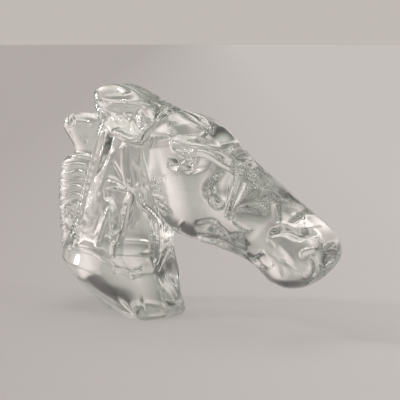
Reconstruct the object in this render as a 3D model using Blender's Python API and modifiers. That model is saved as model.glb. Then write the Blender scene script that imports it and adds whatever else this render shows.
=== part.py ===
# Bust of a horse in clear crystal glass: head thrust forward, ears laid back, mane cut in short locks.
# It is cast in one piece and stands on the flat underside of its neck.
# Metres, +Z up, +X towards the nose, the horse's left at +Y. The origin is at the middle of the underside.

from math import cos, pi, sin

import bmesh
import bpy
from mathutils import Matrix, Vector
from mathutils.bvhtree import BVHTree

# Driving sizes.
HEIGHT = 0.126           # underside to the top of the ears
CHEEK_WIDTH = 0.042      # across both cheeks
NECK_WIDTH = 0.0514      # across the collar, the widest part of the neck
EAR_SPREAD = 0.036       # across the lower edges of both ears
RIM = 0.0022             # height of the bevelled rim around the underside
RIM_STEP = 0.0010        # how far the underside lies inside the rim
MANE_THICKNESS = 0.014   # across the locks of the mane
LOCKS = 9                # locks down the back of the neck

# Clear glass.
GLASS_COLOUR = (0.93, 0.95, 0.94, 1.0)
GLASS_ROUGHNESS = 0.02
GLASS_IOR = 1.54

# Steps of subdivision, and how finely the eyes and grooves are cut.
FINE_STEPS = 2
COARSE_STEPS = 1
EYE_SEGMENTS = 12
EYE_RINGS = 7
GROOVE_SIDES = 8
WELD = 0.00005           # closer corners are merged where the forms meet

# The pose and the carving are shares of the figure's own sizes: X and Z of the side view in hundredths of the
# height, and half widths in hundredths of half the width that a form has above.
GRID = HEIGHT / 100


class Section:
    """A cut through the figure: two points of the side view, and the half outline between them.

    Each point of the half outline is a share of the way from the first point to the last, and a half width.
    """

    def __init__(self, first, last, half_outline):
        self.first = Vector((first[0], 0, first[1])) * GRID
        self.last = Vector((last[0], 0, last[1])) * GRID
        self.half_outline = half_outline

    def ring(self, width):
        """Points around the section of a form of that width: down the right side, then up the left."""
        right = [self.first.lerp(self.last, share) - Vector((0, half * width / 200, 0))
                 for share, half in self.half_outline]
        left = [Vector((p.x, -p.y, p.z)) for p in reversed(right)]
        return [self.first, *right, self.last, *left]


# The head, from behind the cheeks to the lips. Points of the half outline: edge of the brow and nose,
# orbit and facial crest, hollow under the eye, cheek, lower cheek, edge of the jaw.
HEAD = [
    Section((5, 85), (21.5, 39.5), [(.04, 36), (.20, 58), (.40, 66), (.62, 70), (.84, 60), (.96, 34)]),
    Section((17, 90.5), (28, 35.8), [(.03, 50), (.18, 80), (.36, 92), (.60, 101), (.84, 88), (.96, 54)]),
    Section((29, 90.2), (36, 34.5), [(.03, 59), (.16, 90), (.32, 92), (.58, 105), (.83, 92), (.96, 60)]),
    Section((41.5, 87), (42.5, 33.8), [(.06, 67), (.20, 101), (.33, 92), (.58, 104), (.82, 92), (.96, 60)]),
    Section((50.5, 77.5), (49, 32.8), [(.03, 40), (.14, 80), (.34, 88), (.58, 100), (.82, 90), (.96, 56)]),
    Section((60, 70.4), (54.5, 31.6), [(.03, 34), (.10, 50), (.34, 70), (.58, 80), (.82, 74), (.96, 48)]),
    Section((70, 63.8), (60, 30), [(.03, 31), (.10, 39), (.34, 54), (.58, 61), (.82, 58), (.96, 42)]),
    Section((86, 54.3), (68, 26.2), [(.03, 29), (.12, 38), (.34, 54), (.58, 59), (.82, 54), (.96, 38)]),
    Section((94, 49), (73, 20.3), [(.03, 32), (.14, 48), (.34, 61), (.58, 63), (.82, 56), (.96, 38)]),
    Section((100, 44), (81, 19.2), [(.04, 34), (.16, 59), (.34, 67), (.58, 65), (.82, 54), (.96, 34)]),
    Section((102.8, 39.3), (89, 21), [(.06, 32), (.20, 55), (.38, 60), (.60, 56), (.82, 42), (.94, 24)]),
    Section((102.2, 34), (96.5, 26.6), [(.10, 13), (.25, 24), (.40, 28), (.60, 26), (.78, 20), (.90, 11)]),
]

# The neck, from above the rim up. Points of the half outline, from the throat back: edge of the front face,
# shoulder of the throat, side, back of the side, ridge beside the mane, root of the mane.
NECK = [
    Section((21, 10.5), (-38.5, 10), [(.05, 37), (.15, 67), (.32, 89), (.52, 84), (.72, 58), (.88, 27)]),
    Section((20.5, 19), (-45.5, 21), [(.065, 45), (.17, 72), (.35, 102), (.55, 100), (.74, 74), (.90, 36)]),
    Section((19.5, 23), (-43, 28), [(.06, 37), (.17, 62), (.35, 94), (.55, 91), (.74, 66), (.90, 33)]),
    Section((19, 30), (-38, 36.5), [(.05, 26), (.16, 53), (.35, 90), (.55, 88), (.74, 67), (.90, 36)]),
    Section((18, 36.5), (-33.5, 46), [(.04, 21), (.16, 52), (.36, 84), (.56, 82), (.76, 63), (.90, 36)]),
    Section((23, 47.5), (-29.5, 56.5), [(.05, 32), (.20, 56), (.40, 77), (.58, 76), (.76, 57), (.90, 34)]),
    Section((24, 60), (-26, 68), [(.05, 31), (.24, 51), (.42, 72), (.60, 69), (.76, 52), (.90, 33)]),
    Section((24, 73), (-22, 78.5), [(.05, 31), (.24, 51), (.44, 63), (.62, 59), (.78, 45), (.90, 29)]),
    Section((22, 82.5), (-18, 87), [(.06, 23), (.22, 39), (.42, 50), (.60, 46), (.78, 36), (.90, 22)]),
]
UNDERSIDE = Section((20.5, 0), (-21.5, 0), [(.02, 34), (.10, 72), (.24, 70), (.44, 57), (.72, 31), (.92, 12)])

# The ears, one saddle over the poll, from their tips to the brow. Points of the half outline: ridge of the ear,
# which stands above the hollow between the two, outer edge, and the fold under it.
EARS = [
    Section((-23.8, 97), (-20.5, 86), [(.05, 21), (.45, 33), (.85, 17)]),
    Section((-18, 98), (-14, 80), [(-.04, 31), (.68, 52), (.90, 30)]),
    Section((-9, 99.8), (-6, 74), [(-.06, 37), (.70, 76), (.92, 42)]),
    Section((1, 97.8), (3, 70), [(-.06, 39), (.70, 95), (.92, 49)]),
    Section((9, 94.4), (12, 70), [(-.04, 39), (.72, 110), (.92, 56)]),
    Section((17.5, 91.5), (19, 76), [(.02, 37), (.50, 88), (.85, 49)]),
    Section((26, 90), (26, 84), [(.05, 25), (.35, 49), (.80, 32)]),
]

# The mane: the sections of the tuft at its top, then a full section and a notch for each lock. The back line of
# the locks is a shallow bow, and each lock droops towards its tip.
TUFT = [
    Section((-8, 88), (-37, 86), [(.1, 55), (.5, 60), (.9, 40)]),
    Section((-8, 84), (-44, 83), [(.1, 80), (.5, 90), (.92, 60)]),
    Section((-10, 78), (-43.5, 78), [(.1, 90), (.5, 95), (.92, 60)]),
    Section((-11, 73), (-37, 72.5), [(.1, 90), (.5, 90), (.9, 60)]),
    Section((-12, 67), (-35.5, 67), [(.1, 85), (.5, 85), (.9, 60)]),
]
LOCK_OUTLINE = [(.1, 100), (.5, 100), (.93, 75)]
NOTCH_OUTLINE = [(.1, 78), (.5, 78), (.93, 50)]
LOCKS_TOP = 65.5
LOCKS_BOTTOM = 22.0
LOCK_DROOP = 1.0
NOTCH_DEPTH = 2.0
MANE_ROOT = -14.0        # X of the front of the locks inside the neck, at the top lock
MANE_ROOT_STEP = -1.4    # how much further back it lies at each lock down
BOW_X = -46.5            # the back line's furthest point
BOW_Z = 50.0
BOW = 0.0045             # how much the back line curves

# Grooves cut into each side of the head: points of the side view, radius and depth of the groove, all in
# hundredths of the height.
GROOVES = {
    "nasal_fold": ([(79, 44.8), (81.5, 45.4), (84.8, 44.4), (88, 43.5), (91, 44.4), (94, 44.8), (97, 42.8)],
                   1.1, 0.9),
    "nostril": ([(91.6, 36), (92.6, 38), (94.6, 39.2), (96.8, 38.2), (97.9, 35.6), (97.6, 32.6), (96.4, 30.4)],
                1.5, 1.1),
    "mouth": ([(74.8, 35.4), (78.4, 33.4), (82.6, 32.2), (86.8, 30.6), (90.4, 28.8), (93.4, 28)], 1.1, 0.9),
    "chin": ([(81.9, 29.8), (82.3, 28.2), (81.8, 26), (80.4, 23.8)], 1.0, 0.8),
}
GROOVE_TIP = 0.35        # how thick a groove is at its ends, as a share

# The eyes, in the same hundredths: half length, half depth and half height of the hollow and of the eyeball.
EYE = (38.2, 69.8)       # middle of the eye in the side view
EYE_SLOPE = 0.30         # how far it leans down towards the nose, in radians
SOCKET = (7.0, 2.0, 3.6)
EYEBALL = (4.8, 2.4, 2.5)
EYEBALL_SINK = 1.5       # middle of the eyeball below the skin


def new_material(name, colour, roughness, ior):
    """Clear glass by plain values on the shader."""
    material = bpy.data.materials.new(name)
    material.use_nodes = True
    shader = material.node_tree.nodes["Principled BSDF"]
    shader.inputs["Base Color"].default_value = colour
    shader.inputs["Roughness"].default_value = roughness
    shader.inputs["Metallic"].default_value = 0.0
    shader.inputs["IOR"].default_value = ior
    shader.inputs["Transmission Weight"].default_value = 1.0
    return material


def loft(name, rings, level, sharp_rings=(), sharp_lines=()):
    """A closed cage through rings of equal count, softened by Subdivision Surface.

    sharp_rings and sharp_lines give (index, crease) for edges around a ring and for edges from ring to ring.
    """
    bm = bmesh.new()
    verts = [[bm.verts.new(point) for point in ring] for ring in rings]
    count = len(rings[0])
    for lower, upper in zip(verts, verts[1:]):
        for i in range(count):
            j = (i + 1) % count
            bm.faces.new((lower[i], lower[j], upper[j], upper[i]))
    for ring in (verts[0], verts[-1]):
        close_end(bm, ring)
    crease = bm.edges.layers.float.new("crease_edge")
    for index, value in sharp_rings:
        for i in range(count):
            bm.edges.get((verts[index][i], verts[index][(i + 1) % count]))[crease] = value
    for line, value in sharp_lines:
        for side in (line, -line):
            for lower, upper in zip(verts, verts[1:]):
                bm.edges.get((lower[side], upper[side]))[crease] = value
    bmesh.ops.recalc_face_normals(bm, faces=bm.faces)
    mesh = bpy.data.meshes.new(name)
    bm.to_mesh(mesh)
    bm.free()
    obj = bpy.data.objects.new(name, mesh)
    if level:
        subdivision = obj.modifiers.new("soften", "SUBSURF")
        subdivision.levels = level
        subdivision.render_levels = level
    return obj


def close_end(bm, ring):
    """Strips from the right side of a ring across to its left side."""
    half = len(ring) // 2
    for i in range(half):
        corners = [ring[i], ring[i + 1], ring[-i - 1], ring[-i]]
        bm.faces.new(list(dict.fromkeys(corners)))


def neck_rings():
    """Rings of the neck, with the flat underside and the rim below it."""
    underside = UNDERSIDE.ring(NECK_WIDTH)
    rim = []
    for point in underside:
        outward = Vector((point.x, point.y, 0)).normalized()
        rim.append(point + outward * RIM_STEP + Vector((0, 0, RIM)))
    return [underside, rim] + [section.ring(NECK_WIDTH) for section in NECK]


def mane_rings():
    """Rings down the mane, the tuft and then the locks."""
    sections = list(TUFT)
    pitch = (LOCKS_TOP - LOCKS_BOTTOM) / LOCKS
    for k in range(LOCKS):
        z = LOCKS_TOP - k * pitch
        root = MANE_ROOT + k * MANE_ROOT_STEP
        back = BOW_X + BOW * (z - BOW_Z) ** 2
        sections.append(Section((root, z - 0.2 * pitch), (back, z - 0.25 * pitch - LOCK_DROOP), LOCK_OUTLINE))
        sections.append(Section((root, z - 0.9 * pitch),
                                (back + NOTCH_DEPTH, z - 0.85 * pitch - 2 * LOCK_DROOP), NOTCH_OUTLINE))
    return [section.ring(MANE_THICKNESS) for section in sections]


def skin_point(skin, x, z):
    """Point of the right side of a form at (x, z) of the side view, and the normal there."""
    start = Vector((x * GRID, -CHEEK_WIDTH, z * GRID))
    location, normal = skin.ray_cast(start, Vector((0, 1, 0)))[:2]
    return location, normal


def groove(name, skin, path, radius, depth):
    """Round cutters, one for each side, that run along a path on the skin and taper at their ends."""
    points = [skin_point(skin, x, z) for x, z in path]
    rings = []
    for k, (location, normal) in enumerate(points):
        before = points[max(k - 1, 0)][0]
        after = points[min(k + 1, len(points) - 1)][0]
        across = (after - before).cross(normal).normalized()
        size = GRID * (GROOVE_TIP if k in (0, len(points) - 1) else 1)
        centre = location + normal * (radius - depth) * size
        turns = [2 * pi * i / GROOVE_SIDES for i in range(GROOVE_SIDES)]
        rings.append([centre + radius * size * (cos(turn) * normal + sin(turn) * across) for turn in turns])
    right = loft(name + "_right", rings, 0)
    left = loft(name + "_left", [[Vector((p.x, -p.y, p.z)) for p in ring] for ring in rings], 0)
    return [right, left]


def ellipsoids(name, skin, half_sizes, sink):
    """The same ellipsoid at the eye of each side of the head, its middle below the skin by sink."""
    location = skin_point(skin, *EYE)[0]
    shapes = []
    for suffix, side in (("right", 1), ("left", -1)):
        bm = bmesh.new()
        bmesh.ops.create_uvsphere(bm, u_segments=EYE_SEGMENTS, v_segments=EYE_RINGS, radius=GRID)
        middle = Vector((location.x, side * (location.y + sink * GRID), location.z))
        place = Matrix.Translation(middle) @ Matrix.Rotation(EYE_SLOPE, 4, "Y") @ Matrix.Diagonal((*half_sizes, 1))
        bmesh.ops.transform(bm, matrix=place, verts=bm.verts)
        mesh = bpy.data.meshes.new(name)
        bm.to_mesh(mesh)
        bm.free()
        shapes.append(bpy.data.objects.new(f"{name}_{suffix}", mesh))
    return shapes


def combine(target, tool, operation):
    """A live exact Boolean of one form with another."""
    boolean = target.modifiers.new(f"{operation.lower()} {tool.name}", "BOOLEAN")
    boolean.operation = operation
    boolean.solver = "EXACT"
    boolean.object = tool
    tool.display_type = "WIRE"
    tool.hide_render = True


def main():
    for obj in list(bpy.data.objects):
        bpy.data.objects.remove(obj)
    figure = bpy.data.collections.new("crystal_horse_head")
    forms = bpy.data.collections.new("forms")
    bpy.context.scene.collection.children.link(figure)
    bpy.context.scene.collection.children.link(forms)

    # The neck is sharp around the underside, the rim and the collar, and along its front edges, sides and ridges.
    horse = loft("horse_head", neck_rings(), COARSE_STEPS,
                 sharp_rings=[(0, 1.0), (1, 0.8), (3, 0.7)], sharp_lines=[(1, 0.5), (3, 0.4), (5, 0.6)])
    head = loft("head_form", [section.ring(CHEEK_WIDTH) for section in HEAD], FINE_STEPS,
                sharp_rings=[(0, 0.3)], sharp_lines=[(1, 0.4), (2, 0.5)])
    ears = loft("ears_form", [section.ring(EAR_SPREAD) for section in EARS], FINE_STEPS,
                sharp_lines=[(1, 0.3), (2, 0.7)])
    mane = loft("mane_form", mane_rings(), COARSE_STEPS)
    figure.objects.link(horse)
    for form in (head, ears, mane):
        forms.objects.link(form)
    skin = BVHTree.FromObject(head, bpy.context.evaluated_depsgraph_get())

    cuts = ellipsoids("socket", skin, SOCKET, 0)
    for name, (path, radius, depth) in GROOVES.items():
        cuts += groove(name, skin, path, radius, depth)
    eyes = ellipsoids("eyeball", skin, EYEBALL, EYEBALL_SINK)
    for shape in cuts + eyes:
        forms.objects.link(shape)
    for form in (head, ears, mane):
        combine(horse, form, "UNION")
    for cut in cuts:
        combine(horse, cut, "DIFFERENCE")
    for eye in eyes:
        combine(horse, eye, "UNION")
    weld = horse.modifiers.new("weld", "WELD")
    weld.merge_threshold = WELD
    horse.data.materials.append(new_material("crystal", GLASS_COLOUR, GLASS_ROUGHNESS, GLASS_IOR))


main()
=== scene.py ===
# Bust of a horse in clear crystal glass, on a pale floor in soft studio light.
# The glass is one closed skin over the same forms as the solid, smoothed and then carved with fine relief.
# Metres, +Z up, +X towards the nose, the horse's left at +Y. The origin is at the middle of the underside.

from math import cos, pi, radians, sin

import bmesh
import bpy
import numpy as np
from mathutils import Matrix, Vector
from mathutils.bvhtree import BVHTree


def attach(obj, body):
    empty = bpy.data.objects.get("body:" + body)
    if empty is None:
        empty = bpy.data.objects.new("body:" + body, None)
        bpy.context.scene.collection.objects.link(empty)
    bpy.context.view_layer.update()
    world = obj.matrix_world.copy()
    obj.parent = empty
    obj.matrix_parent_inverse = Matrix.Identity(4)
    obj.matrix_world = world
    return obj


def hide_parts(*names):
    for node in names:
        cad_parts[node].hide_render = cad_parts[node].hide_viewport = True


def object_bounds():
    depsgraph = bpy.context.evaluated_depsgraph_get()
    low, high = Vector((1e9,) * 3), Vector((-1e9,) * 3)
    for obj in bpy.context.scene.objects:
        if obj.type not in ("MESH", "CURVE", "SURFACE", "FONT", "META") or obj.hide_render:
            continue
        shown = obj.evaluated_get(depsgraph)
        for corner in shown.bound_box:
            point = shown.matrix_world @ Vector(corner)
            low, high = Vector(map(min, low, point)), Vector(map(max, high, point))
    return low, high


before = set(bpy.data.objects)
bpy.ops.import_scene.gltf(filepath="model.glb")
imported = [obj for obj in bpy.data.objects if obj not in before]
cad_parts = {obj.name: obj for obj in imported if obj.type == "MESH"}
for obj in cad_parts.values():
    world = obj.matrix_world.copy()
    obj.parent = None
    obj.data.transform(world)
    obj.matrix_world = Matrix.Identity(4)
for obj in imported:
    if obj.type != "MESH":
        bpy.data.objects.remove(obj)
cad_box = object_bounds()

# Driving sizes
HEIGHT = 0.126           # underside to the top of the ears
CHEEK_WIDTH = 0.042      # across both cheeks
NECK_WIDTH = 0.0514      # across the collar, the widest part of the neck
EAR_SPREAD = 0.036       # across the lower edges of both ears
RIM = 0.0022             # height of the bevelled rim around the underside
RIM_STEP = 0.0010        # how far the underside lies inside the rim
MANE_THICKNESS = 0.014   # across the locks of the mane
LOCKS = 9                # locks down the back of the neck

# Forms and carving are laid out in the side view, X and Z in hundredths of the height.
GRID = HEIGHT / 100
RIGHT, LEFT = -1, 1      # the flanks, by the sign of Y

# Skin
FORM_STEPS = 4           # steps of subdivision of the neck, head and ears
MANE_STEPS = 3           # and of the mane
VOXEL = 0.00078          # size of the skin's faces
REACH = 0.004            # how far from the skin a form is looked for
RIGHT_SEAM = 2.2 * VOXEL # how far from a second form the skin is softened, on the right flank
LEFT_SEAM = 0.004        # and on the left flank
SEAM_LIMIT = 0.6         # share of softening above which the skin isn't drawn onto a form
SEAM_ROUNDS = 10         # rounds of smoothing at the seams
SEAM_MOVE = 0.6          # how far each round moves the middle of a seam towards its neighbours' mean
SEAM_GAIN = 1.6          # how much wider than a plain ramp that middle is
HEAD_ROUNDS = 10         # rounds of smoothing of the head
HEAD_MOVE = 0.5          # how far each of them moves it
HEAD_START = 24          # X where that smoothing begins, in hundredths of the height
HEAD_RAMP = 8            # length over which it grows
SKIN_BASE = 0.0004       # skin below this height lies in the underside
CARVED_BASE = 0.0003     # the same once it is carved
UNDERSIDE_NORMAL = -0.95 # faces of the underside look down at least this steeply

# Carving
LEFT_SHARE = 0.25        # depth of the left flank's carving, as a share of the right flank's
CURVE_STEP = 0.8         # distance between the points of a curve, in hundredths of the height
BESIDE = -0.1            # Y beside the figure, from where the right flank is looked for
NEAR_MIDDLE = -0.002     # Y from where the nearest skin is taken where that misses it
END_GAIN = 6             # how fast a stroke grows from its ends
END_SHARE = 0.25         # how much of it is there at its very ends
LEDGE_BACK = 0.4         # width of a ledge's steep lower side, as a share of its half width
FACING_GAIN = 2.5        # how fast cuts reach their full depth as the skin turns to face sideways
FACING_LOSS = 0.3        # and how much of that is taken off, so that they end before the figure's outline
SOFTEN_ROUNDS = 2        # rounds of smoothing once all is carved
SOFTEN_MOVE = 0.35       # how far each of them moves it

# Clear glass with a trace of grey green
GLASS_COLOUR = (0.97, 0.985, 0.975, 1.0)
GLASS_ROUGHNESS = 0.08
GLASS_IOR = 1.52
ABSORPTION_COLOUR = (0.78, 0.82, 0.79, 1.0)
ABSORPTION_DENSITY = 5.0

# Pale floor with painted shade, a little darker to the left and lighter to the right
FLOOR_RADIUS = 6.0
FLOOR_SIDES = 96
FLOOR_DROP = 0.00002     # how far it lies below the underside
# painted shade: the left tone is darker and the right one lighter, as the room's light falls
FLOOR_SHADED_LEFT = (0.47, 0.44, 0.43)
FLOOR_LIT_RIGHT = (0.62, 0.59, 0.58)
FLOOR_BLEND = 0.2        # distance from the middle where each of the two is reached
FLOOR_ROUGHNESS = 0.9

# Light of the room by direction, as the glass shows it. A turn is in degrees to the right of FORWARD, the
# level direction in which the camera looks, and a rise is in degrees above the horizon. Each has stops of
# angle and tone, and the two tones multiply.
FORWARD = (-0.6018, 0.7986, 0.0)
SIDEWAYS = (0.7986, 0.6018, 0.0)
UPWARDS = (0, 0, 1)
TURN_TONES = [
    (-180, 0.66), (-150, 0.85), (-132, 1.25), (-96, 1.25), (-86, 0.80), (-76, 0.48), (-62, 0.30),
    (-52, 0.20), (-41, 0.12), (-36, 0.14), (-31, 0.36), (-27, 0.48), (-22, 0.61), (-18, 0.74),
    (-13, 0.95), (-9, 0.88), (-4, 0.68), (6, 0.64), (12, 0.92), (18, 1.18), (22, 1.22), (27, 1.05),
    (34, 0.74), (45, 0.84), (50, 0.84), (56, 0.48), (90, 0.50), (125, 0.45), (180, 0.66),
]
RISE_TONES = [
    (-90, 0.90), (-60, 1.04), (-42, 1.14), (-31, 1.10), (-27, 0.88), (-22, 0.54), (-16, 0.46),
    (-10, 0.67), (-4, 0.80), (3, 0.76), (8, 0.70), (14, 0.62), (20, 0.46), (28, 0.26), (40, 0.28),
    (50, 0.52), (60, 0.64), (75, 0.85), (90, 0.95),
]
# Dark cards in the room, as soft patches: turn and rise of the middle, half sizes as turn and rise, tone
CARDS = [
    ((-96, 14), (36, 23), 0.35),
    ((4, 30), (28, 16), 0.35),
]
CARD_CORE = 0.4          # a card keeps its tone up to this squared distance from its middle, and ends at 1
ROOM_STRENGTH = 1.5      # the tone that a ramp's full white stands for
LIGHT_TINT = (1.0, 0.898, 0.862)
DARK_TINT = (0.970, 0.960, 0.870)
NO_TINT = (1, 1, 1)
TINT_START = 0.5         # tone where the dark tint begins to give way to the light one
TINT_SPAN = 0.4          # span of tones over which it does
BACKDROP = (0.53, 0.49, 0.46)

# Distant lamps, none seen through the glass: where from, width as an angle, strength, and whether each is
# mirrored and casts shadows
LAMPS = [
    ((-0.62, -0.50, 0.62), 6, 0.34, True),
    ((0.95, 0.10, 0.40), 6, 0.24, True),
    ((-0.98, -0.21, 0.14), 7, 0.36, True),
    ((-0.10, 0.20, 1.00), 60, 1.55, False),
]

# Camera
CAMERA_PLACE = (0.4720, -0.5685, 0.1655)
AZIMUTH = radians(37)
PITCH = radians(7.97)
FOCAL_LENGTH = 121.5
SENSOR_WIDTH = 36
CLIP_START = 0.01

# Light paths
BOUNCES = 24
GLASS_BOUNCES = 20
MIRROR_BOUNCES = 12
PATH_BLUR = 0.3          # how much later bounces are blurred, against bright specks


class Section:
    """A cut through the figure: two points of the side view, and the half outline between them.

    Each point of the half outline is a share of the way from the first point to the last, and a half width in
    hundredths of half the form's width.
    """

    def __init__(self, first, last, half_outline):
        self.first = Vector((first[0], 0, first[1])) * GRID
        self.last = Vector((last[0], 0, last[1])) * GRID
        self.half_outline = half_outline

    def ring(self, width):
        """Points around the section of a form of that width: down the right side, then up the left."""
        right = [self.first.lerp(self.last, share) - Vector((0, half * width / 200, 0))
                 for share, half in self.half_outline]
        left = [Vector((p.x, -p.y, p.z)) for p in reversed(right)]
        return [self.first, *right, self.last, *left]


# The head, from behind the cheeks to the lips
HEAD = [
    Section((5, 85), (21.5, 39.5), [(.04, 36), (.20, 58), (.40, 66), (.62, 70), (.84, 60), (.96, 34)]),
    Section((17, 90.5), (28, 35.8), [(.03, 50), (.18, 80), (.36, 92), (.60, 101), (.84, 88), (.96, 54)]),
    Section((29, 90.2), (36, 34.5), [(.03, 59), (.16, 90), (.32, 92), (.58, 105), (.83, 92), (.96, 60)]),
    Section((41.5, 87), (42.5, 33.8), [(.06, 67), (.20, 101), (.33, 92), (.58, 104), (.82, 92), (.96, 60)]),
    Section((50.5, 77.5), (49, 32.8), [(.03, 40), (.14, 80), (.34, 88), (.58, 100), (.82, 90), (.96, 56)]),
    Section((60, 70.4), (54.5, 31.6), [(.03, 34), (.10, 50), (.34, 70), (.58, 80), (.82, 74), (.96, 48)]),
    Section((70, 63.8), (60, 30), [(.03, 31), (.10, 39), (.34, 54), (.58, 61), (.82, 58), (.96, 42)]),
    Section((86, 54.3), (68, 26.2), [(.03, 29), (.12, 38), (.34, 54), (.58, 59), (.82, 54), (.96, 38)]),
    Section((94, 49), (73, 20.3), [(.03, 32), (.14, 48), (.34, 61), (.58, 63), (.82, 56), (.96, 38)]),
    Section((100, 44), (81, 19.2), [(.04, 34), (.16, 59), (.34, 67), (.58, 65), (.82, 54), (.96, 34)]),
    Section((102.8, 39.3), (89, 21), [(.06, 32), (.20, 55), (.38, 60), (.60, 56), (.82, 42), (.94, 24)]),
    Section((102.2, 34), (96.5, 26.6), [(.10, 13), (.25, 24), (.40, 28), (.60, 26), (.78, 20), (.90, 11)]),
]
# The neck, from above the rim up
NECK = [
    Section((21, 10.5), (-38.5, 10), [(.05, 37), (.15, 67), (.32, 89), (.52, 84), (.72, 58), (.88, 27)]),
    Section((20.5, 19), (-45.5, 21), [(.065, 45), (.17, 72), (.35, 102), (.55, 100), (.74, 74), (.90, 36)]),
    Section((19.5, 23), (-43, 28), [(.06, 37), (.17, 62), (.35, 94), (.55, 91), (.74, 66), (.90, 33)]),
    Section((19, 30), (-38, 36.5), [(.05, 26), (.16, 53), (.35, 90), (.55, 88), (.74, 67), (.90, 36)]),
    Section((18, 36.5), (-33.5, 46), [(.04, 21), (.16, 52), (.36, 84), (.56, 82), (.76, 63), (.90, 36)]),
    Section((23, 47.5), (-29.5, 56.5), [(.05, 32), (.20, 56), (.40, 77), (.58, 76), (.76, 57), (.90, 34)]),
    Section((24, 60), (-26, 68), [(.05, 31), (.24, 51), (.42, 72), (.60, 69), (.76, 52), (.90, 33)]),
    Section((24, 73), (-22, 78.5), [(.05, 31), (.24, 51), (.44, 63), (.62, 59), (.78, 45), (.90, 29)]),
    Section((22, 82.5), (-18, 87), [(.06, 23), (.22, 39), (.42, 50), (.60, 46), (.78, 36), (.90, 22)]),
]
UNDERSIDE = Section((20.5, 0), (-21.5, 0), [(.02, 34), (.10, 72), (.24, 70), (.44, 57), (.72, 31), (.92, 12)])
# The ears, one saddle over the poll, from their tips to the brow
EARS = [
    Section((-23.8, 97), (-20.5, 86), [(.05, 21), (.45, 33), (.85, 17)]),
    Section((-18, 98), (-14, 80), [(-.04, 31), (.68, 52), (.90, 30)]),
    Section((-9, 99.8), (-6, 74), [(-.06, 37), (.70, 76), (.92, 42)]),
    Section((1, 97.8), (3, 70), [(-.06, 39), (.70, 95), (.92, 49)]),
    Section((9, 94.4), (12, 70), [(-.04, 39), (.72, 110), (.92, 56)]),
    Section((17.5, 91.5), (19, 76), [(.02, 37), (.50, 88), (.85, 49)]),
    Section((26, 90), (26, 84), [(.05, 25), (.35, 49), (.80, 32)]),
]
# The mane: the tuft at its top, then a full section and a notch for each lock, along a bowed back line
TUFT = [
    Section((-8, 88), (-37, 86), [(.1, 55), (.5, 60), (.9, 40)]),
    Section((-8, 84), (-44, 83), [(.1, 80), (.5, 90), (.92, 60)]),
    Section((-10, 78), (-43.5, 78), [(.1, 90), (.5, 95), (.92, 60)]),
    Section((-11, 73), (-37, 72.5), [(.1, 90), (.5, 90), (.9, 60)]),
    Section((-12, 67), (-35.5, 67), [(.1, 85), (.5, 85), (.9, 60)]),
]
LOCK_OUTLINE = [(.1, 100), (.5, 100), (.93, 75)]
NOTCH_OUTLINE = [(.1, 94), (.5, 94), (.93, 68)]
LOCKS_TOP = 65.5
LOCKS_BOTTOM = 22.0
LOCK_DROOP = 1.0
NOTCH_DEPTH = 2.0
MANE_ROOT = -14.0        # X of the front of the locks inside the neck, at the top lock
MANE_ROOT_STEP = -1.4    # how much further back it lies at each lock down
BOW_X = -46.5            # the back line's furthest point
BOW_Z = 50.0
BOW = 0.0045             # how much the back line curves

# A scoop is cut into both flanks to an even depth: outline, depth, width of its bevel.
SCOOPS = [
    # Ear
    ([(-12.6, 89.5), (-7, 91.3), (1.4, 91.3), (8.5, 91.3), (13.6, 90.2), (17.3, 89.1), (20.1, 86.8),
      (17.8, 84.3), (15, 81.8), (12.1, 77.4), (8.9, 77.7), (1.5, 79.8), (-4.5, 80.6), (-10.1, 85)],
      1.8, 2.5),
    # Neck
    ([(9.9, 56), (10.7, 51.5), (12.2, 48.8), (14.6, 46.4), (16, 42.8), (15.6, 37.4), (15.4, 31.7),
      (15.4, 27), (15, 22.9), (12, 20.8), (8.6, 20), (5.2, 21.6), (1.8, 25), (1.6, 33.5), (2.8, 37.4),
      (3.9, 42.6), (5, 47.9), (6.4, 51.8), (7.4, 55.3)], 1.4, 2.4),
    ([(-2.2, 49), (-4.2, 42.6), (-6.2, 36.8), (-7.2, 32), (-7.4, 28.6), (-3.6, 27), (-0.2, 25.2),
      (0.2, 33), (-0.2, 39)], 1.0, 1.6),
    ([(-8.2, 50), (-12.6, 43), (-17, 38), (-20.4, 36.2), (-20.2, 30.4), (-8.8, 29.4), (-7, 37.8),
      (-5, 44)], 1.0, 2.4),
    # Jaw and chin
    ([(41.6, 40.0), (48.6, 41.1), (53.9, 40.5), (58.9, 37.8), (65.5, 35.2), (64.7, 33.6), (57.7, 34.1),
      (49.8, 35.7), (42, 36.6)], 1.3, 1.8),
    ([(66.9, 32.2), (70.9, 34.4), (74.5, 35.6), (77.8, 33.4), (79.4, 31.2), (77.6, 28.8), (75.5, 28.1),
      (71.5, 28.6), (68.5, 30.2)], 1.0, 1.3),
]
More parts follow.
